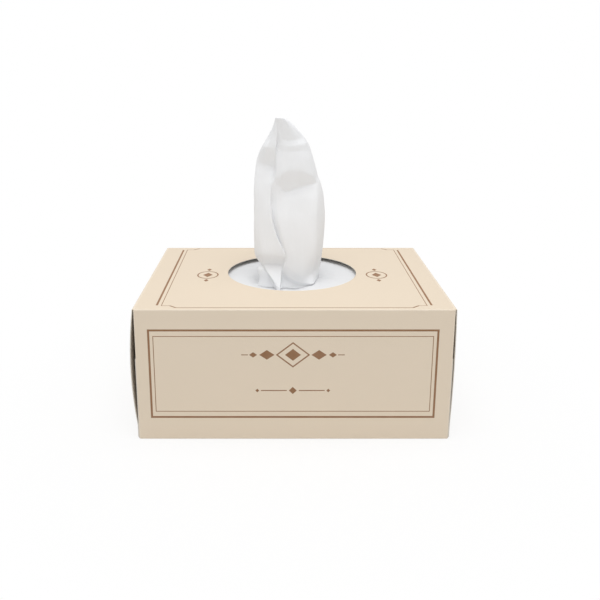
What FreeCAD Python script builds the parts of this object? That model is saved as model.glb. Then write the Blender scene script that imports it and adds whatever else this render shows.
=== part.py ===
import FreeCAD, Part
import os
import Sketcher

# A carton of interfolded paper tissues, with one tissue drawn up through the oval opening.
# Millimetres. The origin is the middle of the carton's base, +X to the right along the
# long side, +Y from the printed front panel to the back, +Z up.

# Driving sizes, each written once.
SIZES = {
    # The folded board carton.
    "box_width": 209.0,
    "box_depth": 134.0,
    "box_height": 93.0,
    "board": 0.5,
    "fold_radius": 0.9,
    "dust_flap": 34.0,
    "inner_flap": 58.0,
    "flap_inset": 0.8,
    "flap_lap": 6.0,
    "flap_drop": 1.2,
    "glued_strip": 9.0,
    "left_flap_bow": 2.8,
    "right_flap_bow": 0.7,
    "seam_tab": 14.0,
    "seam_tab_inset": 2.0,
    # The oval opening in the top panel, set back from the panel's middle.
    "opening_width": 96.0,
    "opening_depth": 80.0,
    "opening_setback": 6.0,
    # The pile of interfolded tissues, by the room that it leaves in the carton.
    "pile_end_room": 5.0,
    "pile_side_room": 5.5,
    "pile_headroom": 3.6,
    "pile_fold_radius": 3.0,
    "slit_length": 56.0,
    "slit_width": 5.0,
    "slit_deep": 4.0,
    "slit_setback": 5.0,
    # The tissue that stands up through the opening.
    "tissue_slack": 0.3,
    "foot_left": 19.0,
    "foot_right": 15.0,
    "tissue_rise": 113.0,
    "tissue_left": 28.0,
    "tissue_right": 24.0,
    "tissue_front": 17.0,
    "tissue_back": 13.0,
}

doc = FreeCAD.newDocument("tissue_carton")
sheet = doc.addObject("Spreadsheet::Sheet", "sizes")
for row, (alias, number) in enumerate(SIZES.items(), start=1):
    sheet.set("A%d" % row, alias)
    sheet.set("B%d" % row, str(number))
    sheet.setAlias("B%d" % row, alias)
doc.recompute()


class Size:
    """A length of the sheet, or one worked out from such lengths, with its expression."""

    def __init__(self, text, value):
        self.text = text
        self.value = value

    def join(self, sign, other, value):
        other_text = other.text if isinstance(other, Size) else str(other)
        return Size("(%s %s %s)" % (self.text, sign, other_text), value)

    def __add__(self, other):
        return self.join("+", other, self.value + number_of(other))

    def __sub__(self, other):
        return self.join("-", other, self.value - number_of(other))

    def __mul__(self, other):
        return self.join("*", other, self.value * number_of(other))

    def __truediv__(self, other):
        return self.join("/", other, self.value / number_of(other))


def number_of(thing):
    return thing.value if isinstance(thing, Size) else thing


def size(alias):
    return Size("sizes.%s" % alias, float(sheet.get(alias)))


def bind(thing, prop, length):
    """Set a property to a length and keep it tied to the sheet."""
    setattr(thing, prop, length.value)
    thing.setExpression(prop, length.text)


# The number by which a sketch's constraint means the centre of an arc or an oval.
CENTRE = 3


def plane_of(body, role):
    return [plane for plane in body.Origin.OriginFeatures if plane.Role == role][0]


def new_sketch(body, name, role, offset=None):
    """A sketch on one of the body's own origin planes, moved along its normal by offset."""
    sketch = body.newObject("Sketcher::SketchObject", name)
    sketch.AttachmentSupport = [(plane_of(body, role), "")]
    sketch.MapMode = "FlatFace"
    if offset is not None:
        sketch.AttachmentOffset = FreeCAD.Placement(
            FreeCAD.Vector(0, 0, offset.value), FreeCAD.Rotation()
        )
        sketch.setExpression("AttachmentOffset.Base.z", offset.text)
    return sketch


def pin(sketch, kind, edge, end, length, side=1):
    """Hold one end of an edge, or its centre, at a distance from the sketch's origin."""
    if number_of(length) == 0:
        axis = -2 if kind == "DistanceX" else -1
        sketch.addConstraint(Sketcher.Constraint("PointOnObject", edge, end, axis))
        return
    origin = (-1, 1)
    point = (edge, end)
    first, second = (point, origin) if side * length.value < 0 else (origin, point)
    held = Size("abs(%s)" % length.text, abs(length.value))
    index = sketch.addConstraint(Sketcher.Constraint(kind, *first, *second, held.value))
    sketch.setExpression("Constraints[%d]" % index, held.text)


def draw_outline(sketch, corners, arcs=None, side=1):
    """A closed outline through the corners, mirrored when side is -1.

    arcs maps the number of a corner to the arc that starts there: how far across its
    centre lies, and a point that it passes.
    """
    arcs = arcs or {}
    places = [
        FreeCAD.Vector(side * number_of(across), number_of(up), 0) for across, up in corners
    ]
    ends = []
    for index, start in enumerate(places):
        stop = places[(index + 1) % len(places)]
        if index in arcs:
            bulge_across, bulge_up = arcs[index][1]
            bulge = FreeCAD.Vector(side * bulge_across.value, bulge_up.value, 0)
            sketch.addGeometry(Part.Arc(start, bulge, stop), False)
        else:
            sketch.addGeometry(Part.LineSegment(start, stop), False)
        # A sketch keeps every arc anticlockwise, so one drawn the other way starts at its end.
        first = sketch.getPoint(index, 1)
        ends.append((1, 2) if first.distanceToPoint(start) < first.distanceToPoint(stop) else (2, 1))
    count = len(places)
    for index in range(count):
        after = (index + 1) % count
        sketch.addConstraint(
            Sketcher.Constraint("Coincident", index, ends[index][1], after, ends[after][0])
        )
    for index, (across, up) in enumerate(corners):
        pin(sketch, "DistanceX", index, ends[index][0], across, side)
        pin(sketch, "DistanceY", index, ends[index][0], up)
    for index, (centre_across, _) in arcs.items():
        pin(sketch, "DistanceX", index, CENTRE, centre_across, side)


def draw_rectangle(sketch, left, right, low, high):
    draw_outline(sketch, [(left, low), (right, low), (right, high), (left, high)])


def negative(length):
    return Size("(0 - %s)" % length.text, -length.value)


def add_pad(body, name, sketch, length, both_ways=False):
    pad = body.newObject("PartDesign::Pad", name)
    pad.Profile = sketch
    if both_ways:
        pad.SideType = "Symmetric"
    bind(pad, "Length", length)
    doc.recompute()
    return pad


def add_pocket(body, name, sketch, length):
    """A pocket against the sketch's normal, which has to take material away."""
    before = body.Shape.Volume
    pocket = body.newObject("PartDesign::Pocket", name)
    pocket.Profile = sketch
    bind(pocket, "Length", length)
    doc.recompute()
    if not body.Shape.Volume < before:
        raise RuntimeError("%s cuts nothing" % name)
    return pocket


def new_body(label):
    body = doc.addObject("PartDesign::Body", label)
    body.Label = label
    return body


box_width = size("box_width")
box_depth = size("box_depth")
box_height = size("box_height")
board = size("board")
fold_radius = size("fold_radius")
sleeve_half = box_width / 2 - board * 2
half_width = box_width / 2
half_depth = box_depth / 2
pile_top = box_height - size("pile_headroom")

# The middle of a square bend lies this share of its radius across and up from its centre.
BEND_SHARE = 0.7071


def draw_inner_flap(carton, name, side):
    """The end flap that folds up from the bottom panel and lies on the dust flaps."""
    reach = half_width - board
    bend = reach - fold_radius
    lap = sleeve_half - size("flap_lap")
    inner_radius = fold_radius - board
    corners = [
        (lap, 0),
        (reach - fold_radius, 0),
        (reach, fold_radius),
        (reach, size("inner_flap")),
        (reach - board, size("inner_flap")),
        (reach - board, fold_radius),
        (reach - fold_radius, board),
        (lap, board),
    ]
    arcs = {
        1: (bend, (bend + fold_radius * BEND_SHARE, fold_radius - fold_radius * BEND_SHARE)),
        5: (bend, (bend + inner_radius * BEND_SHARE, fold_radius - inner_radius * BEND_SHARE)),
    }
    sketch = new_sketch(carton, name + "_outline", "XZ_Plane")
    draw_outline(sketch, corners, arcs, side)
    return add_pad(carton, name, sketch, box_depth - size("flap_inset") * 2, both_ways=True)


def draw_outer_flap(carton, name, side, bow):
    """The end flap that folds down from the top panel, glued along its foot and bowed above."""
    lap = sleeve_half - size("flap_lap")
    inner_radius = fold_radius - board
    bend = half_width - fold_radius
    shoulder = box_height - fold_radius
    foot = size("flap_drop")
    strip = foot + size("glued_strip")
    chord = shoulder - strip
    bow_centre = half_width + bow / 2 - chord * chord / (bow * 8)
    middle = strip + chord / 2
    corners = [
        (lap, box_height - board),
        (lap, box_height),
        (half_width - fold_radius, box_height),
        (half_width, shoulder),
        (half_width, strip),
        (half_width, foot),
        (half_width - board, foot),
        (half_width - board, strip),
        (half_width - board, shoulder),
        (half_width - fold_radius, box_height - board),
    ]
    arcs = {
        2: (bend, (bend + fold_radius * BEND_SHARE, shoulder + fold_radius * BEND_SHARE)),
        3: (bow_centre, (half_width + bow, middle)),
        7: (bow_centre - board, (half_width - board + bow, middle)),
        8: (bend, (bend + inner_radius * BEND_SHARE, shoulder + inner_radius * BEND_SHARE)),
    }
    sketch = new_sketch(carton, name + "_outline", "XZ_Plane")
    draw_outline(sketch, corners, arcs, side)
    return add_pad(carton, name, sketch, box_depth - size("flap_inset") * 2, both_ways=True)


def make_carton():
    """One sheet of board: four panels, a seam tab, dust flaps and two end flaps at each end."""
    carton = new_body("carton")

    block_outline = new_sketch(carton, "block_outline", "XY_Plane")
    draw_rectangle(block_outline, negative(sleeve_half), sleeve_half, negative(half_depth), half_depth)
    block = add_pad(carton, "block", block_outline, box_height)

    folds = carton.newObject("PartDesign::Fillet", "folds")
    folds.Base = (block, [])
    folds.UseAllEdges = True
    bind(folds, "Radius", fold_radius)
    doc.recompute()

    inside_outline = new_sketch(carton, "inside_outline", "XY_Plane", box_height - board)
    inside_half_width = sleeve_half - board
    inside_half_depth = half_depth - board
    draw_rectangle(
        inside_outline,
        negative(inside_half_width),
        inside_half_width,
        negative(inside_half_depth),
        inside_half_depth,
    )
    add_pocket(carton, "inside", inside_outline, box_height - board * 2)

    # Between the two dust flaps each end is open behind the end flaps.
    window_outline = new_sketch(carton, "window_outline", "YZ_Plane", sleeve_half)
    window_half = half_depth - size("dust_flap")
    draw_rectangle(
        window_outline, negative(window_half), window_half, board, box_height - board
    )
    add_pocket(carton, "end_windows", window_outline, sleeve_half * 2)

    for side, word in ((-1, "left"), (1, "right")):
        draw_inner_flap(carton, word + "_inner_flap", side)
    draw_outer_flap(carton, "left_outer_flap", -1, size("left_flap_bow"))
    draw_outer_flap(carton, "right_outer_flap", 1, size("right_flap_bow"))

    # The seam tab lies on the inside of the back panel, just above the bottom panel.
    tab_outline = new_sketch(carton, "seam_tab_outline", "YZ_Plane")
    draw_rectangle(
        tab_outline,
        half_depth - board * 2,
        half_depth - board,
        board,
        board + size("seam_tab"),
    )
    tab_length = (sleeve_half - board - size("seam_tab_inset")) * 2
    add_pad(carton, "seam_tab", tab_outline, tab_length, both_ways=True)

    opening_outline = new_sketch(carton, "opening_outline", "XY_Plane", box_height)
    draw_oval(opening_outline)
    add_pocket(carton, "opening", opening_outline, board * 2)
    return carton


def draw_oval(sketch):
    """The opening's ellipse, its long axis across the top panel."""
    across = size("opening_width")
    deep = size("opening_depth")
    setback = size("opening_setback")
    centre = FreeCAD.Vector(0, setback.value, 0)
    long_end = FreeCAD.Vector(across.value / 2, setback.value, 0)
    short_end = FreeCAD.Vector(0, setback.value + deep.value / 2, 0)
    oval = sketch.addGeometry(Part.Ellipse(long_end, short_end, centre), False)
    sketch.exposeInternalGeometry(oval)
    long_axis = oval + 1
    short_axis = oval + 2
    sketch.addConstraint(Sketcher.Constraint("Horizontal", long_axis))
    sketch.addConstraint(Sketcher.Constraint("PointOnObject", oval, CENTRE, -2))
    held = sketch.addConstraint(
        Sketcher.Constraint("DistanceY", -1, 1, oval, CENTRE, setback.value)
    )
    sketch.setExpression("Constraints[%d]" % held, setback.text)
    for axis, length in ((long_axis, across), (short_axis, deep)):
        held = sketch.addConstraint(Sketcher.Constraint("Distance", axis, length.value))
        sketch.setExpression("Constraints[%d]" % held, length.text)


def edges_along_x(feature):
    """The names of a feature's straight edges that run along X."""
    names = []
    for index, edge in enumerate(feature.Shape.Edges, start=1):
        run = edge.valueAt(edge.LastParameter) - edge.valueAt(edge.FirstParameter)
        if abs(run.x) > 0.99 * run.Length:
            names.append("Edge%d" % index)
    return names


def make_pile():
    """The interfolded tissues: rounded folds at front and back, and the slit they draw from."""
    pile = new_body("tissue_pile")
    half_pile_width = half_width - size("pile_end_room")
    half_pile_depth = half_depth - size("pile_side_room")

    outline = new_sketch(pile, "pile_outline", "XY_Plane", board)
    draw_rectangle(
        outline,
        negative(half_pile_width),
        half_pile_width,
        negative(half_pile_depth),
        half_pile_depth,
    )
    block = add_pad(pile, "pile_block", outline, pile_top - board)

    folded = pile.newObject("PartDesign::Fillet", "pile_folds")
    folded.Base = (block, edges_along_x(block))
    bind(folded, "Radius", size("pile_fold_radius"))
    doc.recompute()

    slit_outline = new_sketch(pile, "slit_outline", "XY_Plane", pile_top)
    half_length = size("slit_length") / 2
    half_slit = size("slit_width") / 2
    draw_rectangle(
        slit_outline,
        negative(half_length),
        half_length,
        size("slit_setback") - half_slit,
        size("slit_setback") + half_slit,
    )
    add_pocket(pile, "slit", slit_outline, size("slit_deep"))
    return pile


# The drawn-up tissue, from the carton's top panel to its tip. Each row holds the height, the
# reach to the left and right, the reach to the front and back, and where the slanting crease
# crosses the front, all as shares of the tissue's own sizes, the crease from left to right.
LEVEL_SHARES = [
    (0.030, 0.80, 0.78, 0.62, 0.60, 0.52),
    (0.115, 0.92, 0.92, 0.88, 0.85, 0.50),
    (0.225, 1.00, 0.98, 0.96, 0.95, 0.41),
    (0.360, 1.00, 1.00, 0.92, 1.00, 0.33),
    (0.490, 0.99, 0.94, 0.86, 0.90, 0.28),
    (0.550, 0.98, 0.88, 0.80, 0.85, 0.27),
    (0.610, 0.97, 0.79, 0.36, 0.80, 0.26),
    (0.680, 0.95, 0.68, 0.72, 0.74, 0.27),
    (0.740, 0.93, 0.59, 0.68, 0.66, 0.30),
    (0.800, 0.86, 0.49, 0.55, 0.56, 0.33),
    (0.860, 0.70, 0.37, 0.44, 0.46, 0.36),
    (0.910, 0.58, 0.18, 0.34, 0.36, 0.40),
    (0.960, 0.49, -0.02, 0.22, 0.24, 0.42),
    (1.000, 0.45, -0.27, 0.08, 0.08, 0.45),
]

# The folds round one level, as shares across from left to right, and to the front or back.
BEHIND_SHARES = [(1.00, 0.00), (0.88, 0.80), (0.63, 0.40), (0.45, 1.00), (0.18, 0.72)]
FRONT_EDGE_SHARES = [(0.00, 0.00), (0.08, -0.78)]
FRONT_PANEL_SHARES = [(0.45, -1.00), (0.88, -0.86)]
CREASE_WIDTH_SHARE = 0.05
CREASE_DEPTH_SHARE = 0.35
CREASE_LIP_SHARE = 0.88
FOOT_CREASE_SHARE = 0.52


def level_wire(left, right, front, back, crease, height, middle):
    """One closed level of the tissue, its folds in order round it."""
    folds = list(FRONT_EDGE_SHARES)
    folds.append((crease - CREASE_WIDTH_SHARE, -CREASE_LIP_SHARE))
    folds.append((crease, -CREASE_DEPTH_SHARE))
    for share, depth in FRONT_PANEL_SHARES:
        folds.append((max(share, crease + CREASE_WIDTH_SHARE), depth))
    folds.extend(BEHIND_SHARES)
    points = []
    for across, deep in folds:
        reach = front if deep < 0 else back
        points.append(
            FreeCAD.Vector(-left + across * (left + right), middle + deep * reach, height)
        )
    return Part.makePolygon(points + points[:1])


def make_raised_tissue():
    """The tissue that stands in the opening, gathered in the pile's slit."""
    tissue = doc.addObject("Part::Feature", "raised_tissue")
    tissue.Label = "raised_tissue"
    middle = size("slit_setback").value
    foot_half = size("slit_width").value / 2 - size("tissue_slack").value
    foot_low = pile_top.value - size("slit_deep").value
    foot_left = size("foot_left").value
    foot_right = size("foot_right").value
    wires = [
        level_wire(
            foot_left, foot_right, foot_half, foot_half, FOOT_CREASE_SHARE, height, middle
        )
        for height in (foot_low, pile_top.value)
    ]
    for rise, left, right, front, back, crease in LEVEL_SHARES:
        wires.append(
            level_wire(
                left * size("tissue_left").value,
                right * size("tissue_right").value,
                front * size("tissue_front").value,
                back * size("tissue_back").value,
                crease,
                box_height.value + rise * size("tissue_rise").value,
                middle,
            )
        )
    tissue.Shape = Part.makeLoft(wires, True, True)
    tissue.Placement = FreeCAD.Placement()
    return tissue


pieces = [make_carton(), make_pile(), make_raised_tissue()]
doc.recompute()

for thing in doc.Objects:
    if "Invalid" in thing.State or "Error" in thing.State:
        raise RuntimeError("%s failed: %s" % (thing.Name, thing.State))
for piece in pieces:
    if piece.Shape.isNull() or not piece.Shape.isValid():
        raise RuntimeError("%s has no valid shape" % piece.Label)

os.makedirs("parts", exist_ok=True)
for piece in pieces:
    piece.Shape.exportStep(os.path.join("parts", piece.Label + ".step"))
    box = piece.Shape.BoundBox
    print(
        piece.Label,
        "solids %d, volume %.0f" % (len(piece.Shape.Solids), piece.Shape.Volume),
        "x %.2f to %.2f, y %.2f to %.2f, z %.2f to %.2f"
        % (box.XMin, box.XMax, box.YMin, box.YMax, box.ZMin, box.ZMax),
    )
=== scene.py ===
import math

import bpy
import numpy as np
from bpy.props import FloatProperty, FloatVectorProperty, PointerProperty
from bpy.types import Operator, Panel, PropertyGroup
from mathutils import Euler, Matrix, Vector, noise


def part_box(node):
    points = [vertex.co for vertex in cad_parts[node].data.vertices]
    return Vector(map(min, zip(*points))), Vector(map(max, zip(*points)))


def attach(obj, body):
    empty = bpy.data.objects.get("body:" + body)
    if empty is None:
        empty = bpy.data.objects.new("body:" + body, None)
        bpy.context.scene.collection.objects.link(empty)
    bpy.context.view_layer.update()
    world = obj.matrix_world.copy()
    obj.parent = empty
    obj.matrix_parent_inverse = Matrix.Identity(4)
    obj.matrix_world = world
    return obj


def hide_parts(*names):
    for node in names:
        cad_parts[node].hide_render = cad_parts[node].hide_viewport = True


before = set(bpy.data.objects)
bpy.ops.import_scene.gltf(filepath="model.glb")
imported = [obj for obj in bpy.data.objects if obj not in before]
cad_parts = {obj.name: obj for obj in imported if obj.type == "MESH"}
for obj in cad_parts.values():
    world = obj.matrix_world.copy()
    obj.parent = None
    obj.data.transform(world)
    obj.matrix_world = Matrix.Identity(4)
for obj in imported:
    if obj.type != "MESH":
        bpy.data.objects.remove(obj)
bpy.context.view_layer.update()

bl_info = {
    "name": "Tissue box",
    "version": (1, 0, 0),
    "blender": (4, 5, 0),
    "location": "View3D > Sidebar > Tissue box",
    "description": "A board carton of interfolded tissues with one tissue drawn up through its top",
    "category": "Object",
}

PILE_LOW, PILE_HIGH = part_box("tissue_pile")
CARTON_LOW, CARTON_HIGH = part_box("carton")
PANEL_TOP = CARTON_HIGH[2]
MM = 0.001

# Half the carton's width between its end folds and half its depth, and where the end flaps
# begin, in millimetres.
END_FOLD = 103.5
SIDE_FOLD = 67.0
FLAP_START = 103.6

# The pile's slit: its place to the back, its half width and its depth. The hollow round it:
# its middle, and its reach to the left, right, front and back. All in millimetres.
SLIT_PLACE = 5.0
SLIT_WIDTH = 1.6
SLIT_DEPTH = 1.6
HOLLOW_MIDDLE = -8.0
HOLLOW_LEFT, HOLLOW_RIGHT, HOLLOW_FRONT, HOLLOW_BACK = 24.0, 22.0, 32.0, 14.0

# How far the sheet lies off the pile, in millimetres, so that the two don't cut each other.
SHEET_GAP = 0.15

# The stage, in metres.
LAMP_PLACE = Vector((0, -0.32, 1.4))
LAMP_TARGET = Vector((0, 0, 0.1))
LAMP_SIZE = 1.3
FLOOR_SIZE = 8.0
FLOOR_DROP = 0.0001


class TISSUEBOX_PG_carton(PropertyGroup):
    """The printed carton's colours and line widths."""

    coat: FloatVectorProperty(
        name="Coat", description="Cream coat of the board", subtype="COLOR",
        default=(0.765, 0.655, 0.52), min=0, max=1,
    )
    print_colour: FloatVectorProperty(
        name="Print", description="Brown of the frames and ornaments", subtype="COLOR",
        default=(0.27, 0.135, 0.062), min=0, max=1,
    )
    bare_board: FloatVectorProperty(
        name="Bare board", description="Uncoated inside and cut edges", subtype="COLOR",
        default=(0.72, 0.68, 0.61), min=0, max=1,
    )
    thick_line: FloatProperty(
        name="Thick line", description="Width of the outer frame's line", unit="LENGTH",
        default=0.0014, min=0.0002, max=0.005,
    )
    thin_line: FloatProperty(
        name="Thin line", description="Width of the inner frame's line", unit="LENGTH",
        default=0.0005, min=0.0001, max=0.003,
    )


class TISSUEBOX_PG_pile(PropertyGroup):
    """The pile of interfolded tissues under the opening."""

    hollow_depth: FloatProperty(
        name="Hollow depth", description="How deep the drawn-up tissue leaves the pile",
        unit="LENGTH", default=0.004, min=0.001, max=0.03,
    )
    fold_radius: FloatProperty(
        name="Fold radius", description="Rounding of the folds at front and back",
        unit="LENGTH", default=0.003, min=0.001, max=0.01,
    )
    swell: FloatProperty(
        name="Swell", description="How far the top sheet stands off in soft waves",
        unit="LENGTH", default=0.0006, min=0, max=0.003,
    )


class TISSUEBOX_PG_tissue(PropertyGroup):
    """The drawn-up tissue and the paper of the whole pile."""

    colour: FloatVectorProperty(
        name="Tissue", description="White of the paper", subtype="COLOR",
        default=(0.945, 0.952, 0.965), min=0, max=1,
    )
    sheet_width: FloatProperty(
        name="Sheet width", description="Width of the flat sheet along the carton",
        unit="LENGTH", default=0.199, min=0.1, max=0.4,
    )
    raised_length: FloatProperty(
        name="Raised length", description="Length of sheet between the fold and the top edge",
        unit="LENGTH", default=0.123, min=0.05, max=0.3,
    )
    thickness: FloatProperty(
        name="Thickness", description="Thickness of the two plies", unit="LENGTH",
        default=0.0002, min=0.00005, max=0.001,
    )


class TISSUEBOX_PG_stage(PropertyGroup):
    """Camera, floor and lamps."""

    camera_place: FloatVectorProperty(
        name="Camera place", description="Where the camera stands", subtype="TRANSLATION",
        unit="LENGTH", default=(-0.0108, -0.4420, 0.2500),
    )
    camera_dip: FloatProperty(
        name="Camera dip", description="How far the camera looks down", subtype="ANGLE",
        unit="ROTATION", default=math.radians(12.61),
    )
    lens: FloatProperty(
        name="Lens", description="Focal length on a 36 mm sensor", unit="CAMERA",
        default=37.54, min=10, max=200,
    )
    shift_across: FloatProperty(
        name="Shift across", description="Sideways shift of the frame", default=0.0373,
        min=-0.5, max=0.5,
    )
    shift_up: FloatProperty(
        name="Shift up", description="Upward shift of the frame", default=-0.170,
        min=-0.5, max=0.5,
    )
    sky: FloatProperty(
        name="Sky", description="Strength of the even light from all sides", default=0.535,
        min=0, max=2,
    )
    lamp: FloatProperty(
        name="Lamp", description="Power of the soft lamp overhead", unit="POWER",
        default=12.9, min=0, max=100,
    )
    floor_colour: FloatVectorProperty(
        name="Floor", description="Pale floor", subtype="COLOR", default=(0.9, 0.9, 0.9),
        min=0, max=1,
    )


class Finish:
    """A procedural material put together from short calls."""

    def __init__(self, name):
        self.material = bpy.data.materials.new(name)
        self.material.use_nodes = True
        self.nodes = self.material.node_tree.nodes
        self.links = self.material.node_tree.links
        self.nodes.clear()
        self.shader = self.nodes.new("ShaderNodeBsdfPrincipled")
        self.output = self.nodes.new("ShaderNodeOutputMaterial")
        self.links.new(self.shader.outputs["BSDF"], self.output.inputs["Surface"])

    def feed(self, socket, value):
        if isinstance(value, bpy.types.NodeSocket):
            self.links.new(value, socket)
        else:
            socket.default_value = value

    def math(self, operation, *values, clamp=False):
        node = self.nodes.new("ShaderNodeMath")
        node.operation = operation
        node.use_clamp = clamp
        for socket, value in zip(node.inputs, values):
            self.feed(socket, value)
        return node.outputs[0]

    def mix(self, share, first, second):
        node = self.nodes.new("ShaderNodeMix")
        node.data_type = "RGBA"
        self.feed(node.inputs[0], share)
        self.feed(node.inputs[6], first)
        self.feed(node.inputs[7], second)
        return node.outputs[2]

    def place(self):
        """Object coordinates in millimetres, as three numbers."""
        coordinates = self.nodes.new("ShaderNodeTexCoord")
        split = self.nodes.new("ShaderNodeSeparateXYZ")
        self.links.new(coordinates.outputs["Object"], split.inputs[0])
        return [self.math("MULTIPLY", split.outputs[axis], 1000.0) for axis in range(3)]

    def facing(self):
        """The surface's normal, as three numbers."""
        geometry = self.nodes.new("ShaderNodeNewGeometry")
        split = self.nodes.new("ShaderNodeSeparateXYZ")
        self.links.new(geometry.outputs["Normal"], split.inputs[0])
        return [split.outputs[axis] for axis in range(3)]

    def grain(self, scale, detail=3.0, roughness=0.55, stretch=(1, 1, 1), source="Object"):
        """Noise from 0 to 1, scale in cells to the metre."""
        coordinates = self.nodes.new("ShaderNodeTexCoord")
        mapping = self.nodes.new("ShaderNodeMapping")
        mapping.inputs["Scale"].default_value = stretch
        texture = self.nodes.new("ShaderNodeTexNoise")
        texture.inputs["Scale"].default_value = scale
        texture.inputs["Detail"].default_value = detail
        texture.inputs["Roughness"].default_value = roughness
        self.links.new(coordinates.outputs[source], mapping.inputs["Vector"])
        self.links.new(mapping.outputs[0], texture.inputs["Vector"])
        return texture.outputs["Fac"]

    def bump(self, pile_layers_and_painted_shade):
        """One bump after another, each a height and its distance in metres."""
        normal = None
        for height, distance in pile_layers_and_painted_shade:
            node = self.nodes.new("ShaderNodeBump")
            node.inputs["Strength"].default_value = 1.0
            node.inputs["Distance"].default_value = distance
            self.links.new(height, node.inputs["Height"])
            if normal is not None:
                self.links.new(normal, node.inputs["Normal"])
            normal = node.outputs[0]
        self.links.new(normal, self.shader.inputs["Normal"])

    # Distances in millimetres to the edge of a printed shape, less than 0 inside it.

    def bar(self, across, up, centre, half):
        side = self.math("SUBTRACT", self.away(across, centre[0]), half[0])
        height = self.math("SUBTRACT", self.away(up, centre[1]), half[1])
        return self.math("MAXIMUM", side, height)

    def away(self, value, centre):
        return self.math("ABSOLUTE", self.math("SUBTRACT", value, centre))

    def line_round(self, distance, width):
        return self.math("SUBTRACT", self.math("ABSOLUTE", distance), width / 2)

    def lozenge(self, across, up, centre, half):
        side = self.math("DIVIDE", self.away(across, centre[0]), half[0])
        height = self.math("DIVIDE", self.away(up, centre[1]), half[1])
        share = self.math("SUBTRACT", self.math("ADD", side, height), 1.0)
        return self.math("MULTIPLY", share, half[0] * half[1] / math.hypot(*half))

    def disc(self, across, up, centre, radius):
        side = self.math("POWER", self.away(across, centre[0]), 2.0)
        height = self.math("POWER", self.away(up, centre[1]), 2.0)
        return self.math("SUBTRACT", self.math("SQRT", self.math("ADD", side, height)), radius)

    def slant(self, across, up, start, stop, width):
        """A short straight line from start to stop."""
        run = Vector(stop) - Vector(start)
        length = run.length
        run.normalize()
        side_x = self.math("SUBTRACT", across, start[0])
        side_y = self.math("SUBTRACT", up, start[1])
        along = self.math(
            "ADD", self.math("MULTIPLY", side_x, run.x), self.math("MULTIPLY", side_y, run.y)
        )
        beside = self.math(
            "SUBTRACT", self.math("MULTIPLY", side_x, run.y), self.math("MULTIPLY", side_y, run.x)
        )
        return self.bar(along, beside, (length / 2, 0.0), (length / 2, width / 2))

    def nearest(self, *distances):
        found = distances[0]
        for distance in distances[1:]:
            found = self.math("MINIMUM", found, distance)
        return found

    def inked(self, distance, softness=0.12):
        return self.math("MULTIPLY_ADD", distance, -1.0 / softness, 0.5, clamp=True)


# The print. Its places and sizes are in millimetres in the part's frame.


def top_print(finish, x, y, thick, thin):
    """Notched double frame and two ring ornaments on the top panel."""
    side, deep = finish.math("ABSOLUTE", x), finish.math("ABSOLUTE", y)
    return finish.nearest(
        finish.bar(side, y, (89.45, 0.0), (thick / 2, 60.0)),
        finish.bar(side, y, (86.35, 0.0), (thin / 2, 60.8)),
        finish.bar(side, deep, (83.7, 60.6), (2.7, thin / 2)),
        finish.slant(side, deep, (81.0, 60.6), (76.5, 64.0), thin * 2.0),
        finish.bar(x, y, (0.0, -64.0), (76.6, thin * 0.75)),
        finish.bar(x, y, (0.0, 64.0), (76.6, thin * 0.25)),
        ring_ornament(finish, side, y),
    )


def ring_ornament(finish, side, y):
    """A ring round a lozenge, with a small lozenge before and behind it."""
    middle = (62.5, -1.5)
    beyond = finish.away(y, middle[1])
    return finish.nearest(
        finish.line_round(finish.disc(side, y, middle, 7.4), 1.0),
        finish.lozenge(side, y, middle, (3.6, 4.6)),
        finish.lozenge(side, beyond, (middle[0], 11.6), (1.8, 2.6)),
    )


def front_print(finish, x, z, thick, thin):
    """Double frame, a chain of lozenges and a short rule on the front and back panels."""
    centre = (-0.72, 47.61)
    beside = finish.away(x, -0.8)
    chain = finish.nearest(
        finish.line_round(finish.lozenge(beside, z, (0.0, 61.5), (10.5, 8.4)), 0.9),
        finish.lozenge(beside, z, (0.0, 61.5), (5.2, 4.2)),
        finish.lozenge(beside, z, (17.0, 61.5), (5.0, 3.4)),
        finish.lozenge(beside, z, (26.0, 61.5), (2.6, 1.9)),
        finish.bar(beside, z, (31.5, 61.5), (2.2, 0.3)),
    )
    rule = finish.nearest(
        finish.bar(beside, z, (12.5, 36.0), (8.5, 0.35)),
        finish.lozenge(beside, z, (0.0, 36.0), (2.6, 2.6)),
        finish.lozenge(beside, z, (23.4, 36.0), (1.3, 1.3)),
    )
    outer = finish.line_round(finish.bar(x, z, centre, (93.7, 31.0)), thick)
    inner = finish.line_round(finish.bar(x, z, centre, (90.8, 26.8)), thin)
    return finish.nearest(outer, inner, chain, rule)


def end_print(finish, y, z, thick, thin):
    """Double frame on the two end flaps."""
    centre = (0.0, 47.61)
    outer = finish.line_round(finish.bar(y, z, centre, (57.0, 31.0)), thick)
    inner = finish.line_round(finish.bar(y, z, centre, (53.9, 26.8)), thin)
    return finish.nearest(outer, inner)


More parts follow.
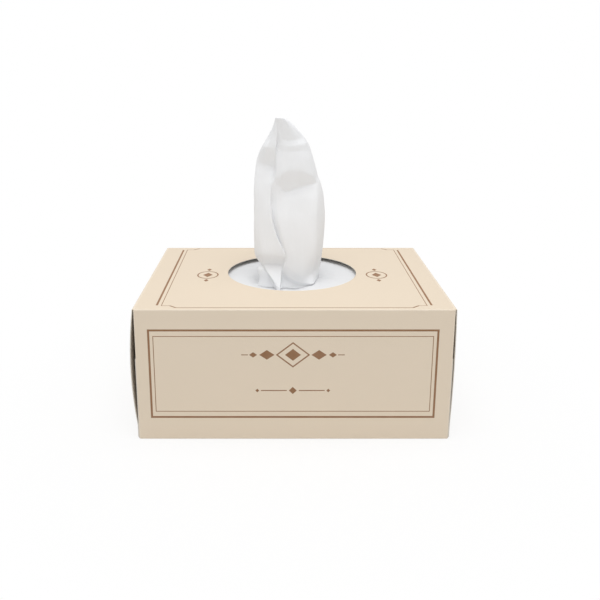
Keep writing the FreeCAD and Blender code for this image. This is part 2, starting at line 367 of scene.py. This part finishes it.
def printed_board(settings):
    """Coated cream board with brown print outside, bare board inside and on cut edges."""
    finish = Finish("printed_board")
    x, y, z = finish.place()
    face_x, face_y, face_z = finish.facing()
    thick, thin = settings.thick_line / MM, settings.thin_line / MM

    upward = finish.math("GREATER_THAN", face_z, 0.7)
    frontal = finish.math("GREATER_THAN", finish.math("ABSOLUTE", face_y), 0.7)
    endward = finish.math("GREATER_THAN", finish.math("ABSOLUTE", face_x), 0.7)
    ink = finish.math("MULTIPLY", upward, finish.inked(top_print(finish, x, y, thick, thin)))
    for share, distance in (
        (frontal, front_print(finish, x, z, thick, thin)),
        (endward, end_print(finish, y, z, thick, thin)),
    ):
        patch = finish.math("MULTIPLY", share, finish.inked(distance))
        ink = finish.math("MAXIMUM", ink, patch)

    # The inner faces look towards the carton's middle, and the outer ones away from it.
    from_middle = finish.math("SUBTRACT", z, PANEL_TOP / MM / 2)
    outward = finish.math("MULTIPLY", face_x, x)
    for face, place in ((face_y, y), (face_z, from_middle)):
        outward = finish.math("ADD", outward, finish.math("MULTIPLY", face, place))
    coated = finish.math("GREATER_THAN", outward, 0.0)
    beyond_sleeve = finish.math("GREATER_THAN", finish.math("ABSOLUTE", x), FLAP_START)
    flap_edge = finish.math("LESS_THAN", finish.math("ABSOLUTE", face_x), 0.3)
    below_fold = finish.math("LESS_THAN", z, PANEL_TOP / MM - 1.0)
    cut = finish.math("MULTIPLY", finish.math("MULTIPLY", beyond_sleeve, flap_edge), below_fold)
    coated = finish.math("MULTIPLY", coated, finish.math("SUBTRACT", 1.0, cut))
    ink = finish.math("MULTIPLY", ink, coated)

    # Folds where two panels meet are rubbed a little paler.
    to_end = finish.math("SUBTRACT", END_FOLD, finish.math("ABSOLUTE", x))
    to_side = finish.math("SUBTRACT", SIDE_FOLD, finish.math("ABSOLUTE", y))
    to_lid = finish.math("MINIMUM", finish.math("SUBTRACT", PANEL_TOP / MM, z), z)
    nearer = finish.math("MINIMUM", to_end, to_side)
    farther = finish.math("MAXIMUM", to_end, to_side)
    to_fold = finish.math("MAXIMUM", nearer, finish.math("MINIMUM", farther, to_lid))
    rub = finish.math("MULTIPLY_ADD", to_fold, -0.8, 1.0, clamp=True)
    patches = finish.grain(140.0, 4.0)
    rub = finish.math("MULTIPLY", rub, finish.math("MULTIPLY", patches, 0.55))

    mottle = finish.grain(22.0, 3.0)
    fibre = finish.grain(1800.0, 2.0)
    coat = finish.mix(
        finish.math("MULTIPLY_ADD", mottle, 0.5, 0.25),
        (*[0.975 * part for part in settings.coat], 1),
        (*[min(1.02 * part, 1) for part in settings.coat], 1),
    )
    coat = finish.mix(finish.math("MULTIPLY", fibre, 0.06), coat, (0.72, 0.58, 0.42, 1))
    wear = finish.math("MULTIPLY_ADD", patches, 0.16, 0.87, clamp=True)
    worn_ink = finish.math("MULTIPLY", ink, wear)
    outside = finish.mix(worn_ink, coat, (*settings.print_colour, 1))
    outside = finish.mix(rub, outside, (0.95, 0.88, 0.77, 1))
    inside = finish.mix(
        finish.math("MULTIPLY", fibre, 0.5),
        (*settings.bare_board, 1),
        (*[0.8 * part for part in settings.bare_board], 1),
    )
    finish.links.new(finish.mix(coated, inside, outside), finish.shader.inputs["Base Color"])
    gloss = finish.math("MULTIPLY_ADD", coated, -0.3, 0.88)
    finish.links.new(
        finish.math("MULTIPLY_ADD", mottle, 0.08, gloss), finish.shader.inputs["Roughness"]
    )
    finish.shader.inputs["Specular IOR Level"].default_value = 0.3
    finish.bump([(finish.grain(14.0, 1.0), 0.0012), (fibre, 0.00003)])
    return finish.material


def tissue_paper(settings, name, source, pile_layers_and_painted_shade=False):
    """Soft creped paper. On the pile's sides the sheets show as fine layers, and the pile's paper
    is made darker as painted shade.
    """
    finish = Finish(name)
    # Painted shade: the pile's paper is 0.84 times as bright as the raised tissue's, to stand in
    # for the shade it lies in under the carton's top panel.
    white = [(0.84 if pile_layers_and_painted_shade else 1.0) * part for part in settings.colour]
    crepe = finish.grain(1500.0, 3.0, 0.6, stretch=(1, 0.16, 1), source=source)
    fibre = finish.grain(5200.0, 2.0, source=source)
    dapple = finish.grain(160.0, 3.0, source=source)
    tone = finish.mix(
        finish.math("MULTIPLY_ADD", dapple, 0.6, 0.2),
        (*[0.97 * part for part in white], 1),
        (*[min(1.02 * part, 1) for part in white], 1),
    )
    tone = finish.mix(finish.math("MULTIPLY", crepe, 0.1), tone, (0.74, 0.74, 0.73, 1))
    heights = [(crepe, 0.00009), (fibre, 0.00003)]
    if pile_layers_and_painted_shade:
        x, y, z = finish.place()
        face_x, face_y, face_z = finish.facing()
        height = finish.math("MULTIPLY", z, 9.0)
        wave = finish.math("SINE", finish.math("MULTIPLY_ADD", dapple, 5.0, height))
        groove = finish.math("MULTIPLY_ADD", wave, 0.5, 0.5)
        upright = finish.math("LESS_THAN", finish.math("ABSOLUTE", face_z), 0.6)
        groove = finish.math("MULTIPLY", groove, upright)
        tone = finish.mix(finish.math("MULTIPLY", groove, 0.35), tone, (0.5, 0.5, 0.5, 1))
        heights.append((groove, 0.0003))
    finish.links.new(tone, finish.shader.inputs["Base Color"])
    finish.shader.inputs["Roughness"].default_value = 0.95
    finish.shader.inputs["Specular IOR Level"].default_value = 0.1
    finish.bump(heights)
    return finish.material


def deselect():
    for thing in bpy.context.selected_objects:
        thing.select_set(False)


def hand_over(thing, node, finish):
    """Give a new piece its finish, and let it stand for the frame's plain solid."""
    thing.data.materials.clear()
    thing.data.materials.append(finish)
    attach(thing, "root")
    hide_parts(node)


def smooth_step(value):
    value = min(max(value, 0.0), 1.0)
    return value * value * (3 - 2 * value)


def pile_drop(x, y, settings):
    """How far the pile's top lies below its plain level, in millimetres."""
    # The slit between the two top sheets, opened to a hollow round the drawn-up tissue.
    slit = math.exp(-(((y - SLIT_PLACE) / SLIT_WIDTH) ** 2))
    slit *= smooth_step((36.0 - abs(x + 1.0)) / 10.0)
    across = (x - HOLLOW_MIDDLE) / (HOLLOW_LEFT if x < HOLLOW_MIDDLE else HOLLOW_RIGHT)
    reach = math.hypot(across, y / (HOLLOW_FRONT if y < 0 else HOLLOW_BACK))
    hollow = smooth_step((1.12 - reach) / 0.62) * settings.hollow_depth / MM
    wave = noise.noise(Vector((x / 31.0, y / 17.0, 0.3))) * settings.swell / MM
    return slit * SLIT_DEPTH + hollow - wave


def pile_level(x, y, settings):
    """Height of the pile's top over the carton's top panel, in millimetres."""
    return (PILE_HIGH[2] - PANEL_TOP) / MM - pile_drop(x, y, settings)


class TISSUEBOX_OT_carton(Operator):
    """Finish the folded carton with its coat, print and bare edges"""

    bl_idname = "tissuebox.carton"
    bl_label = "Finish carton"

    def execute(self, context):
        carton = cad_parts["carton"]
        finish = printed_board(context.scene.tissuebox_carton)
        carton.data.materials.clear()
        carton.data.materials.append(finish)
        return {"FINISHED"}


class TISSUEBOX_OT_pile(Operator):
    """Model the pile of interfolded tissues with its slit and soft top sheet"""

    bl_idname = "tissuebox.pile"
    bl_label = "Tissue pile"

    def execute(self, context):
        settings = context.scene.tissuebox_pile
        low, high = Vector(PILE_LOW), Vector(PILE_HIGH)
        size = high - low
        deselect()
        bpy.ops.mesh.primitive_grid_add(
            x_subdivisions=116, y_subdivisions=72, size=1.0, location=(0, 0, 0)
        )
        pile = context.object
        pile.name = pile.data.name = "interfolded_tissues"
        bpy.ops.object.mode_set(mode="EDIT")
        bpy.ops.mesh.select_all(action="SELECT")
        bpy.ops.transform.resize(value=(size.x, size.y, 1))
        bpy.ops.transform.translate(value=(low.x + size.x / 2, low.y + size.y / 2, high.z))
        bpy.ops.mesh.region_to_loop()
        bpy.ops.mesh.extrude_region_move(
            TRANSFORM_OT_translate={"value": (0, 0, -settings.fold_radius)}
        )
        bpy.ops.mesh.extrude_region_move(
            TRANSFORM_OT_translate={"value": (0, 0, settings.fold_radius * 2 - size.z)}
        )
        bpy.ops.mesh.extrude_region_move(
            TRANSFORM_OT_translate={"value": (0, 0, -settings.fold_radius)}
        )
        bpy.ops.mesh.edge_face_add()
        bpy.ops.mesh.select_all(action="SELECT")
        bpy.ops.mesh.normals_make_consistent(inside=False)
        bpy.ops.object.mode_set(mode="OBJECT")
        self.shape_top(pile, settings, high, size)
        bpy.ops.object.shade_smooth_by_angle(angle=math.radians(50))
        finish = tissue_paper(context.scene.tissuebox_tissue, "tissue_pile_paper", "Object", True)
        hand_over(pile, "tissue_pile", finish)
        return {"FINISHED"}

    def shape_top(self, pile, settings, high, size):
        """Sink the slit and the hollow, and round the long folds."""
        radius = settings.fold_radius
        for vertex in pile.data.vertices:
            place = vertex.co
            if place.z < high.z - 0.5 * radius:
                continue
            to_fold = size.y / 2 - abs(place.y - (high.y - size.y / 2))
            drop = pile_drop(place.x / MM, place.y / MM, settings) * MM
            ease = smooth_step(to_fold / 0.012)
            place.z -= max(drop * ease, 0.0 if to_fold < 0.012 else drop)
            if to_fold < radius:
                place.z -= radius - math.sqrt(max(radius**2 - (radius - to_fold) ** 2, 0.0))


# The drawn-up tissue. Each list is one line up the sheet, from the slit to the top edge, and
# the lines follow each other round the folds, from the free edge behind on the left, along
# the front and back to the other free edge. Each point holds its row, its place to the right
# and to the back in millimetres, and its height over the carton's top panel.
SHEET_LINES = [
    # Free edge, tucked inside behind the front panel, and round to the left.
    [(0, -2, 4.5, -11), (1, -2, 4.5, -7.5), (4, -1.6, 3.5, -0.7), (6, 0.5, 1, 15.4),
     (8, 1.6, -1, 41.7), (10, 0.6, -0.5, 60.2), (13, -2.4, -1, 76.7), (16, -5.5, -2, 89.1),
     (18, -8.5, -4, 98.5)],
    [(0, -9, 5, -11), (1, -9, 5, -7.5), (4, -10.7, 4.5, -0.7), (6, -11.7, 3.5, 15.4),
     (8, -11.2, 2.5, 42.8), (10, -11.7, 2.5, 62.2), (13, -11.7, 1.5, 79.8),
     (16, -11.6, -3, 93.3), (18, -11.6, -7, 102.6)],
    [(0, -15, 5.2, -11), (1, -16, 5.2, -7.5), (4, -18.8, 6, -0.7), (6, -22.8, 6.5, 15.4),
     (8, -23.9, 6, 44.8), (10, -22.9, 5.5, 64.3), (13, -20.4, 3, 83.9), (16, -16.3, -1.5, 98.5),
     (18, -13.5, -7, 108.9)],
    # Left outline.
    [(0, -19, 5, -11), (1, -20, -1, -8), (2, -25.4, -6.6, -8), (3, -24.2, -6.4, -0.7),
     (4, -25.6, -5.8, 6.3), (5, -23.2, -3, 9.3), (6, -27.3, -3.6, 16.4), (7, -27.7, -4.4, 29.5),
     (8, -27.8, -4.2, 49.9), (9, -27.5, -4, 62.2), (10, -27.3, -3.6, 70.5),
     (11, -26.8, -3, 77.7), (12, -26, -2.6, 83.9), (13, -24.6, -3.4, 90.1),
     (14, -21.5, -6, 96.9), (15, -18, -8, 103.2), (16, -14.9, -10, 108.9),
     (17, -13, -11.6, 113.6), (18, -12.4, -13.6, 116.9)],
    # Left half of the left strip, and the shaded fold below it.
    [(0, -16, 4.5, -11), (1, -15, -2, -8), (2, -13.7, -8, -8), (3, -15.1, -7.8, -2),
     (4, -17.7, -6.9, 4.3), (5, -21.8, -3.6, 9.5), (6, -24, -7.6, 17.2), (7, -24.7, -7.4, 29.5),
     (8, -24.9, -6.4, 49.9), (9, -24.7, -6, 61.7), (10, -24.6, -5.4, 69.9),
     (11, -24, -4.6, 77.2), (12, -23.4, -3.8, 83.7), (13, -22.3, -5.6, 89.9),
     (14, -20.1, -8.6, 96.6), (15, -16.8, -9.6, 102.8), (16, -14.1, -11, 108.9),
     (17, -12.6, -12.3, 113.6), (18, -12.1, -14, 117.1)],
    # Middle of the left strip, and the left edge of the small triangle at its foot.
    [(0, -14, 3.5, -11), (1, -12, -2, -8), (2, -11.1, -14.2, -8), (3, -11.3, -14.6, -4.6),
     (4, -16.1, -11, 2.3), (5, -21.2, -6, 9.9), (6, -20.6, -10.2, 17.9), (7, -21.2, -9, 29.5),
     (8, -21.8, -7.6, 49.9), (9, -21.8, -7, 61.2), (10, -21.5, -6.2, 69.4),
     (11, -20.9, -5.2, 76.6), (12, -20.4, -4.2, 83.4), (13, -19.7, -7, 89.6),
     (14, -18.4, -10.5, 96.4), (15, -15.5, -11, 102.6), (16, -13.3, -12, 108.9),
     (17, -12.2, -13, 113.6), (18, -11.8, -14.4, 117.1)],
    # Right edge of the left strip, and of the triangle.
    [(0, -11, 3, -11), (1, -9.8, -3, -8), (2, -9.5, -14.7, -8), (3, -9.2, -15, -5),
     (4, -8.4, -11, 1.3), (5, -8.2, -6.6, 9.3), (6, -5.8, -11.4, 17.9), (7, -10.5, -11.4, 29.5),
     (8, -14.5, -10.4, 42.7), (9, -15.6, -9, 56), (10, -15.6, -7.4, 70.4),
     (11, -14.5, -5.6, 76.1), (12, -13.3, -4.6, 81.3), (13, -12.7, -7.6, 88.6),
     (14, -12.2, -11.1, 95.8), (15, -11.5, -11.8, 102.6), (16, -11, -12.8, 107.9),
     (17, -10.8, -13.6, 113.1), (18, -10.8, -15, 117.1)],
    # Crease behind that edge.
    [(0, -8, 3, -11), (1, -8, 0, -8), (2, -8.5, -10, -8), (3, -8.3, -8.6, -4),
     (4, -7.8, -7.6, 1.8), (5, -6.8, -7.4, 9.5), (6, -4.8, -11.2, 17.7), (7, -10, -8.5, 29.5),
     (8, -13.9, -7.2, 43), (9, -14.9, -6.2, 58), (10, -14.1, -8.2, 71), (11, -13.3, -8.2, 74.1),
     (12, -12.2, -8.8, 77.5), (13, -11.5, -9.2, 88.6), (14, -11.4, -8, 95.8),
     (15, -11, -9.4, 101.1), (16, -10.4, -12, 106.8), (17, -10, -13.4, 112.6),
     (18, -9.7, -15.2, 117.2)],
    # Left edge of the large front panel.
    [(0, -5, 3, -11), (1, -4.5, 3.5, -8), (2, -5.6, -8.6, -8), (3, -6, -8, -1),
     (4, -6.2, -9.8, 4.8), (5, -5.2, -11.4, 10.8), (6, -3.1, -12, 17.6), (7, -6.9, -11.5, 29),
     (8, -10.3, -10.4, 43.8), (9, -10.6, -7.8, 57.6), (10, -8.8, -7, 67.8), (11, -8.8, -9, 72.3),
     (12, -8.3, -10.8, 77), (13, -7.5, -10.8, 87), (14, -7.3, -10.4, 93.2),
     (15, -7.2, -10.8, 98.5), (16, -7.3, -10.8, 102.1), (17, -8.1, -13, 109.4),
     (18, -8.7, -15.4, 117.2)],
    # The front panel.
    [(0, 0, 3, -11), (1, 0.5, 3.5, -8), (2, -0.1, -9.4, -8), (3, 0, -9.4, -3),
     (4, 0.2, -12, -0.1), (5, 1.1, -12.8, 6.3), (6, 2.5, -12.4, 17.4), (7, -0.1, -11.2, 31.5),
     (8, -2.5, -9.6, 45.8), (9, -4.1, -7.4, 57.1), (10, -4.9, -4.8, 63.6), (11, -4, -8, 72),
     (12, -3, -11.2, 80.1), (13, -2.4, -11.2, 87.5), (14, -1.9, -10.7, 93.2),
     (15, -1.7, -11.3, 97.4), (16, -2.7, -10.8, 101.2), (17, -5.6, -13, 109.4),
     (18, -7.7, -15.4, 117.2)],
    [(0, 6, 3, -11), (1, 7, 3.5, -8), (2, 7.3, -10.4, -8), (3, 7.4, -10.8, -4.4),
     (4, 7.5, -12.8, -2.4), (5, 8.4, -13.2, 3.8), (6, 9.1, -12.8, 18.4), (7, 8.3, -11.6, 33.6),
     (8, 7.3, -9.8, 47.8), (9, 6.4, -7.8, 59.6), (10, 5.4, -5.2, 67.4), (11, 5.8, -8, 73.3),
     (12, 5.8, -10.8, 79.9), (13, 5.3, -10.8, 87), (14, 4.7, -10.2, 93.9), (15, 3.9, -11, 98.2),
     (16, 2.6, -10.4, 102.2), (17, -1.9, -12.8, 110.3), (18, -6.8, -15.2, 117.2)],
    # Right edge of the front panel.
    [(0, 11, 3, -11), (1, 12.4, 3.5, -8), (2, 13.5, -10.5, -8), (3, 14.6, -11.8, -3.8),
     (4, 15, -13, -2.6), (5, 14.2, -9.4, 3.8), (6, 16.9, -10.8, 18.4), (7, 17.2, -10.2, 34.6),
     (8, 17.1, -9, 49.9), (9, 17, -7, 61.2), (10, 16.9, -4.2, 70.2), (11, 15.6, -5.2, 72.3),
     (12, 13.8, -7.6, 76.6), (13, 11.8, -7.8, 86), (14, 10, -7.4, 93.9), (15, 9, -8.2, 98.7),
     (16, 7.2, -7.8, 103.3), (17, 1, -10.6, 110.8), (18, -6, -13.8, 117.1)],
    # Right outline.
    [(0, 15, 5, -11), (1, 17.5, 4.5, -8), (2, 17.7, 3, -5), (3, 18.4, 1.5, -3.2),
     (4, 19.2, 0, -0.7), (5, 20.5, 0.5, 7.3), (6, 22, 1, 18.4), (7, 23.3, 1.5, 33.6),
     (8, 23.6, 1.5, 47.9), (9, 22.4, 1, 60.2), (10, 20, 0, 70.1), (11, 18.3, -0.5, 74.1),
     (12, 16.7, -1.4, 79.8), (13, 14.5, -2.4, 87.5), (14, 11.8, -3.4, 95.8),
     (15, 9.2, -4.4, 100.8), (16, 6.7, -5.6, 104.7), (17, 1.4, -8, 110.6),
     (18, -5.5, -12.2, 116.9)],
    # The folds behind, from the right outline to the other free edge: two ridges with a
    # hollow before each, the second free edge last.
    [(0, 13, 6.5, -11), (1, 16, 8, -6), (4, 18.5, 10, 1), (6, 20, 11, 18), (8, 20.5, 12, 44),
     (10, 17.5, 11, 64), (12, 13.5, 9, 76), (14, 9.5, 6, 88), (16, 4.5, 1, 97),
     (18, -1, -6, 106)],
    [(0, 9, 5, -11), (1, 10, 4.5, -6), (4, 11, 5, 1), (6, 12, 4, 17), (8, 13, 3, 42),
     (10, 11.5, 4, 61), (12, 9, 3, 73), (14, 6, 1, 85), (16, 1.5, -2, 95), (18, -3, -7, 104)],
    [(0, 4, 7, -11), (1, 5, 9.5, -5), (4, 6, 13, 2), (6, 7, 16, 17), (8, 6.5, 17.5, 40),
     (10, 4, 16, 57), (12, 2, 13, 69), (14, 0, 8.5, 80), (16, -3, 3, 91), (18, -6, -2.5, 101)],
    [(0, 0, 6, -11), (1, 0, 7, -5.5), (4, -1, 9, 1), (6, -2.5, 9.5, 16), (8, -3.5, 8, 39),
     (10, -4.5, 9, 56), (12, -5.5, 9.5, 68), (14, -6.5, 6, 80), (16, -7.5, 1, 91),
     (18, -8.5, -3, 102)],
    [(0, -5, 7.5, -11), (1, -6, 9.5, -5.5), (4, -8, 13.5, 1), (6, -10, 17.5, 17),
     (8, -11.5, 16, 41), (10, -12.5, 13.5, 60), (12, -13, 12, 72), (14, -13, 9, 82),
     (16, -12, 3.5, 93), (18, -10.5, -3, 103)],
    [(0, -10, 5.5, -11), (1, -12, 6, -7), (4, -14.5, 7.5, 0.5), (6, -17, 8.4, 17),
     (8, -18, 8.2, 42), (10, -18, 7.4, 62), (12, -17.5, 7, 73), (14, -16, 4.6, 84),
     (16, -14, 1.6, 94), (18, -11.8, -3.8, 103)],
    [(0, -15, 7, -11), (1, -17.5, 8, -7.5), (4, -20, 10, 0), (6, -22, 11.6, 17),
     (8, -22.6, 10.6, 42), (10, -21.6, 9.4, 62), (12, -20.4, 8, 73), (14, -18.6, 6.4, 84.5),
     (16, -15.8, 2.4, 95), (18, -13, -4.2, 104)],
]
SHEET_ROWS = 19

# Faces between one line or row and the next.
SHEET_STEPS = 6

# How round the sheet turns at some of its lines, counted from the first free edge: the
# outlines, the left strip's crisp edge, the crease behind it and the front panel's edges.
FOLD_ROUNDING = {3: 0.45, 6: 0.1, 7: 0.2, 8: 0.4, 11: 0.5, 12: 0.45}

# The same for rows: the foot of the left strip, the crease across the front, and the small
# pleat below the tip.
ROW_ROUNDING = {4: 0.4, 5: 0.3, 10: 0.15, 14: 0.4, 15: 0.4, 16: 0.3}


def fill_rows(keys):
    """The values between the rows that are given, for every row."""
    keys = np.array(keys, dtype=float)
    rows = np.arange(SHEET_ROWS)
    return np.stack([np.interp(rows, keys[:, 0], part) for part in keys[:, 1:].T], axis=1)


def sheet_net():
    """The lines of the tissue, all with the same rows, in metres in the carton's frame."""
    net = [fill_rows(line) for line in SHEET_LINES]
    return np.array(net) * MM + np.array((0, 0, PANEL_TOP))


def draw_through(points, steps, roundness):
    """A smooth run through the points of the first axis. At 0 roundness a point is a crisp fold."""
    ahead = np.roll(points, -1, axis=0)
    behind = np.roll(points, 1, axis=0)
    ahead[-1] = points[-1]
    behind[0] = points[0]
    slope = (ahead - behind) / 2 * np.reshape(roundness, (-1, 1, 1))
    run = []
    for index in range(len(points) - 1):
        start, stop = points[index], points[index + 1]
        for step in range(steps):
            t = step / steps
            run.append(
                (2 * t**3 - 3 * t**2 + 1) * start
                + (t**3 - 2 * t**2 + t) * slope[index]
                + (3 * t**2 - 2 * t**3) * stop
                + (t**3 - t**2) * slope[index + 1]
            )
    run.append(points[-1])
    return np.array(run)


class TISSUEBOX_OT_raised_tissue(Operator):
    """Fold up the sheet that stands in the opening, from the pile's slit to its tip"""

    bl_idname = "tissuebox.raised_tissue"
    bl_label = "Raised tissue"

    def execute(self, context):
        settings = context.scene.tissuebox_tissue
        net = sheet_net()
        row_rounding = self.rounding(SHEET_ROWS, 0.75, ROW_ROUNDING)
        line_rounding = self.rounding(len(net), 0.7, FOLD_ROUNDING)
        along = draw_through(net.transpose(1, 0, 2), SHEET_STEPS, row_rounding)
        places = draw_through(along.transpose(1, 0, 2), SHEET_STEPS, line_rounding)
        lines, rows = places.shape[:2]
        faces = [
            (line * rows + row, (line + 1) * rows + row, (line + 1) * rows + row + 1,
             line * rows + row + 1)
            for line in range(lines - 1)
            for row in range(rows - 1)
        ]
        mesh = bpy.data.meshes.new("raised_sheet")
        mesh.from_pydata(places.reshape(-1, 3).tolist(), [], faces)
        self.lay_flat(mesh, settings, lines, rows)
        sheet = bpy.data.objects.new("raised_sheet", mesh)
        context.collection.objects.link(sheet)
        deselect()
        sheet.select_set(True)
        context.view_layer.objects.active = sheet
        self.crumple(mesh)
        self.lay_on_pile(mesh, context.scene.tissuebox_pile)
        body = sheet.modifiers.new("two plies", "SOLIDIFY")
        body.thickness = settings.thickness
        body.offset = 0.0
        bpy.ops.object.modifier_apply(modifier=body.name)
        bpy.ops.object.shade_smooth()
        finish = tissue_paper(settings, "raised_tissue_paper", "UV")
        hand_over(sheet, "raised_tissue", finish)
        return {"FINISHED"}

    def rounding(self, count, usual, others):
        """How round the sheet turns at each line or row."""
        shares = np.full(count, usual)
        for place, share in others.items():
            shares[place] = share
        return shares

    def lay_flat(self, mesh, settings, lines, rows):
        """A UV map in metres of the flat sheet, so that the crepe follows the paper."""
        layer = mesh.uv_layers.new(name="flat_sheet")
        for corner in mesh.loops:
            line, row = divmod(corner.vertex_index, rows)
            layer.data[corner.index].uv = (
                line / (lines - 1) * settings.sheet_width,
                row / (rows - 1) * settings.raised_length,
            )

    def crumple(self, mesh):
        """Small soft dents that every handled tissue has, and broader ones in the folds behind."""
        mesh.update()
        for vertex in mesh.vertices:
            place = vertex.co / MM
            lift = place.z - PANEL_TOP / MM
            loose = smooth_step((lift + 4.0) / 12.0)
            behind = smooth_step((place.y - 2.0) / 6.0)
            dent = noise.noise(Vector((place.x / 9.0, place.y / 9.0, place.z / 16.0)))
            fine = noise.noise(Vector((place.x / 3.5, place.y / 3.5, place.z / 7.0)))
            broad = noise.noise(Vector((place.x / 12.0, 4.7, (place.z + place.x) / 17.0)))
            amount = (0.35 + 0.3 * behind) * loose
            vertex.co += vertex.normal * (dent + 0.35 * fine) * amount * MM
            vertex.co.y += broad * 3.4 * behind * loose * MM

    def lay_on_pile(self, mesh, settings):
        """Before the slit the sheet rests on the pile instead of sinking into it."""
        for vertex in mesh.vertices:
            place = vertex.co / MM
            if place.y < 1.5:
                level = pile_level(place.x, place.y, settings) + SHEET_GAP + PANEL_TOP / MM
                vertex.co.z = max(place.z, level) * MM


class TISSUEBOX_OT_stage(Operator):
    """Set up the camera, the pale floor and the soft lamps"""

    bl_idname = "tissuebox.stage"
    bl_label = "Stage"

    def execute(self, context):
        settings = context.scene.tissuebox_stage
        self.add_camera(context, settings)
        self.add_floor(context, settings)
        self.add_light(context, settings)
        context.scene.view_settings.view_transform = "Standard"
        return {"FINISHED"}

    def add_camera(self, context, settings):
        lens = bpy.data.cameras.new("camera")
        lens.sensor_width = 36
        lens.lens = settings.lens
        lens.shift_x = settings.shift_across
        lens.shift_y = settings.shift_up
        lens.clip_start = 0.01
        lens.clip_end = 20
        camera = bpy.data.objects.new("camera", lens)
        camera.location = settings.camera_place
        camera.rotation_euler = Euler((math.pi / 2 - settings.camera_dip, 0, 0))
        context.collection.objects.link(camera)
        context.scene.camera = camera

    def add_floor(self, context, settings):
        deselect()
        bpy.ops.mesh.primitive_plane_add(size=FLOOR_SIZE, location=(0, 0, 0))
        floor = context.object
        floor.name = floor.data.name = "floor"
        bpy.ops.object.mode_set(mode="EDIT")
        bpy.ops.mesh.select_all(action="SELECT")
        bpy.ops.transform.translate(value=(0, 0, -FLOOR_DROP))
        bpy.ops.object.mode_set(mode="OBJECT")
        finish = Finish("pale_floor")
        finish.shader.inputs["Roughness"].default_value = 0.9
        finish.shader.inputs["Specular IOR Level"].default_value = 0.1
        tone = finish.grain(3.0, 2.0)
        shade = finish.mix(
            finish.math("MULTIPLY", tone, 0.1),
            (*settings.floor_colour, 1),
            (*[0.97 * part for part in settings.floor_colour], 1),
        )
        finish.links.new(shade, finish.shader.inputs["Base Color"])
        # Near the carton the floor keeps its shadow, and further out it turns plain white.
        x, y, z = finish.place()
        away = finish.math(
            "SQRT",
            finish.math("ADD", finish.math("MULTIPLY", x, x), finish.math("MULTIPLY", y, y)),
        )
        white = finish.math("MULTIPLY_ADD", away, 0.0016, 0.62)
        white = finish.math("MINIMUM", white, 1.0)
        glow = finish.nodes.new("ShaderNodeEmission")
        glow.inputs["Strength"].default_value = 1.0
        blend = finish.nodes.new("ShaderNodeMixShader")
        finish.links.new(finish.math("MULTIPLY", self.seen(finish), white), blend.inputs[0])
        finish.links.new(finish.shader.outputs[0], blend.inputs[1])
        finish.links.new(glow.outputs[0], blend.inputs[2])
        finish.links.new(blend.outputs[0], finish.output.inputs["Surface"])
        floor.data.materials.append(finish.material)

    def seen(self, finish):
        """1 for what the camera sees, straight or in a glossy or clear surface."""
        path = finish.nodes.new("ShaderNodeLightPath")
        seen = finish.math("MAXIMUM", path.outputs["Is Camera Ray"], path.outputs["Is Glossy Ray"])
        return finish.math("MAXIMUM", seen, path.outputs["Is Transmission Ray"])

    def add_light(self, context, settings):
        sky = bpy.data.worlds.new("sky")
        sky.use_nodes = True
        context.scene.world = sky
        nodes, links = sky.node_tree.nodes, sky.node_tree.links
        background = nodes["Background"]
        path = nodes.new("ShaderNodeLightPath")
        strength = nodes.new("ShaderNodeMix")
        strength.inputs[2].default_value = settings.sky
        strength.inputs[3].default_value = 1.0
        seen = nodes.new("ShaderNodeMath")
        seen.operation = "MAXIMUM"
        links.new(path.outputs["Is Camera Ray"], seen.inputs[0])
        links.new(path.outputs["Is Transmission Ray"], seen.inputs[1])
        mirrored = nodes.new("ShaderNodeMath")
        mirrored.operation = "MAXIMUM"
        links.new(path.outputs["Is Glossy Ray"], mirrored.inputs[0])
        links.new(seen.outputs[0], mirrored.inputs[1])
        links.new(mirrored.outputs[0], strength.inputs[0])
        links.new(strength.outputs[0], background.inputs["Strength"])
        background.inputs["Color"].default_value = (1, 1, 1, 1)
        lamp = bpy.data.lights.new("soft_lamp", "AREA")
        lamp.shape = "DISK"
        lamp.size = LAMP_SIZE
        lamp.energy = settings.lamp
        light = bpy.data.objects.new("soft_lamp", lamp)
        light.location = LAMP_PLACE
        light.rotation_euler = (LAMP_TARGET - LAMP_PLACE).to_track_quat("-Z", "Y").to_euler()
        context.collection.objects.link(light)


class TISSUEBOX_PT_panel(Panel):
    """Sizes, colours and steps of the tissue box"""

    bl_idname = "TISSUEBOX_PT_panel"
    bl_label = "Tissue box"
    bl_space_type = "VIEW_3D"
    bl_region_type = "UI"
    bl_category = "Tissue box"

    def draw(self, context):
        scene = context.scene
        for group, operators in PANEL_ROWS:
            box = self.layout.box()
            settings = getattr(scene, group)
            for name in settings.__annotations__:
                box.prop(settings, name)
            for operator in operators:
                box.operator(operator)


PANEL_ROWS = [
    ("tissuebox_carton", ["tissuebox.carton"]),
    ("tissuebox_pile", ["tissuebox.pile"]),
    ("tissuebox_tissue", ["tissuebox.raised_tissue"]),
    ("tissuebox_stage", ["tissuebox.stage"]),
]
GROUPS = {
    "tissuebox_carton": TISSUEBOX_PG_carton,
    "tissuebox_pile": TISSUEBOX_PG_pile,
    "tissuebox_tissue": TISSUEBOX_PG_tissue,
    "tissuebox_stage": TISSUEBOX_PG_stage,
}
CLASSES = [
    *GROUPS.values(),
    TISSUEBOX_OT_carton,
    TISSUEBOX_OT_pile,
    TISSUEBOX_OT_raised_tissue,
    TISSUEBOX_OT_stage,
    TISSUEBOX_PT_panel,
]


def register():
    for kind in CLASSES:
        bpy.utils.register_class(kind)
    for name, group in GROUPS.items():
        setattr(bpy.types.Scene, name, PointerProperty(type=group))


def unregister():
    for name in GROUPS:
        delattr(bpy.types.Scene, name)
    for kind in reversed(CLASSES):
        bpy.utils.unregister_class(kind)


def main():
    register()
    bpy.ops.tissuebox.carton()
    bpy.ops.tissuebox.pile()
    bpy.ops.tissuebox.raised_tissue()
    bpy.ops.tissuebox.stage()


if __name__ == "__main__":
    main()
